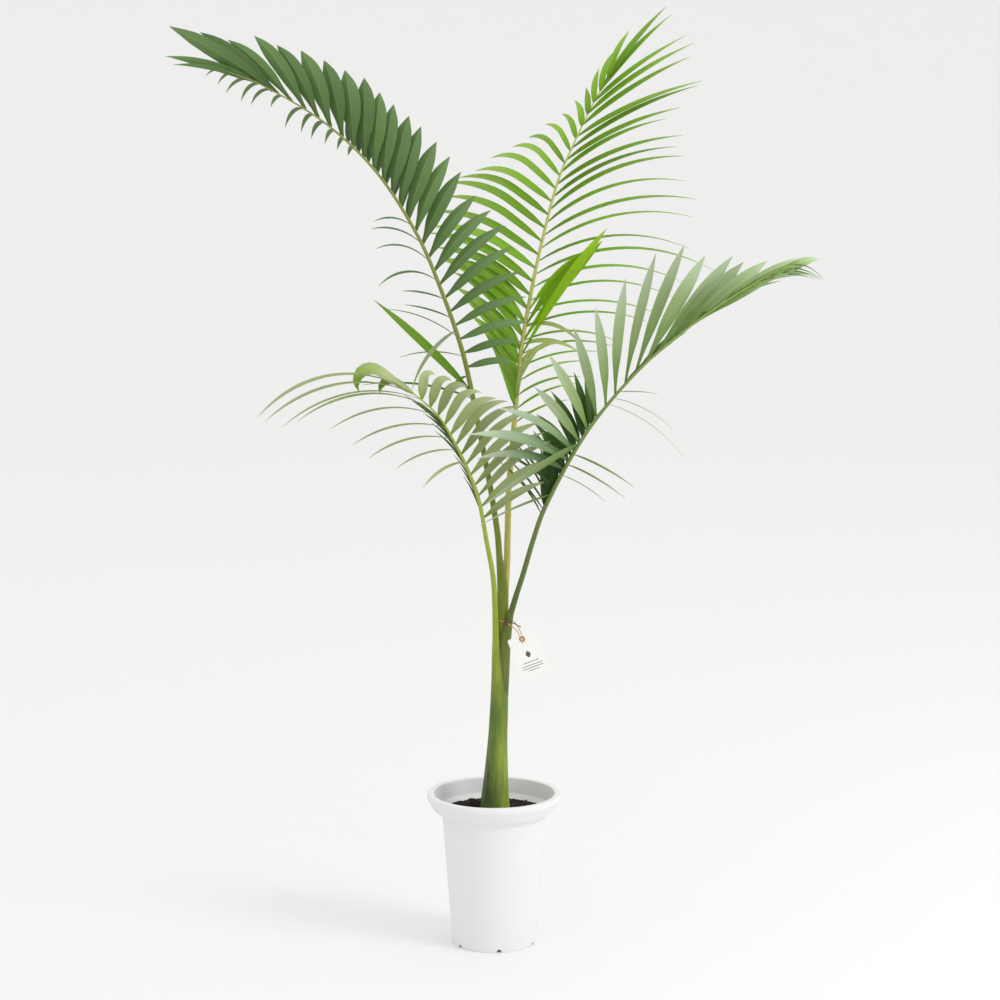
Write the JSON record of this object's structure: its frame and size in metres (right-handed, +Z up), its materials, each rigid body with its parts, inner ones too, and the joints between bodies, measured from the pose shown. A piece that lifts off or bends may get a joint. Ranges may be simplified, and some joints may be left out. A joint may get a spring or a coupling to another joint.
{
  "type": "potted palm",
  "caption": "Young feather palm with arching fronds on a slim green stem, standing in a tall white nursery pot of soil, with a blank plant tag tied round the top of the stem.",
  "frame": {"origin": "middle of the pot's foot, on the surface that the pot stands on", "axes": "+Z up along the pot; +X to the side that the right frond leans to; -Y to the front, which the low fronds lean to"},
  "size_m": [0.9451, 0.5616, 1.4849],
  "materials": {
    "white_plastic": "smooth injection-moulded white polypropylene, soft gloss",
    "potting_soil": "dark moist potting soil with bark chips, matt",
    "stem_skin": "green living stem of clasping leaf bases, satin with fine lengthwise fibres",
    "green_stalk": "olive-green leaf stalk, satin",
    "yellow_stalk": "yellowish leaf stalk, satin",
    "pale_stalk": "yellow-green leaf stalk, satin",
    "dark_blade": "grey-green underside of leaflets, satin with fine veins",
    "bright_blade": "bright yellow-green leaflets that let light through",
    "grey_blade": "mid-green leaflets with a silvery sheen",
    "pale_blade": "pale sage-green leaflets",
    "tag_paper": "white coated card with a plain leaf mark",
    "tag_eyelet": "small pressed metal eyelet",
    "tag_cord": "natural waxed cotton tie"
  },
  "bodies": {
    "root": {"pot": "white_plastic", "soil": "potting_soil", "stem": "stem_skin", "high_left_stalk": "green_stalk", "high_left_upper_leaflets": "dark_blade", "high_left_lower_leaflets": "dark_blade", "high_right_stalk": "yellow_stalk", "high_right_left_leaflets": "bright_blade", "high_right_right_leaflets": "bright_blade", "high_right_unsplit_leaflets": "bright_blade", "right_stalk": "green_stalk", "right_upper_leaflets": "grey_blade", "right_lower_leaflets": "grey_blade", "low_left_stalk": "pale_stalk", "low_left_right_leaflets": "pale_blade", "low_left_left_leaflets": "pale_blade", "tag_card": "tag_paper", "tag_eyelet": "tag_eyelet", "tag_tie": "tag_cord"}
  },
  "joints": []
}
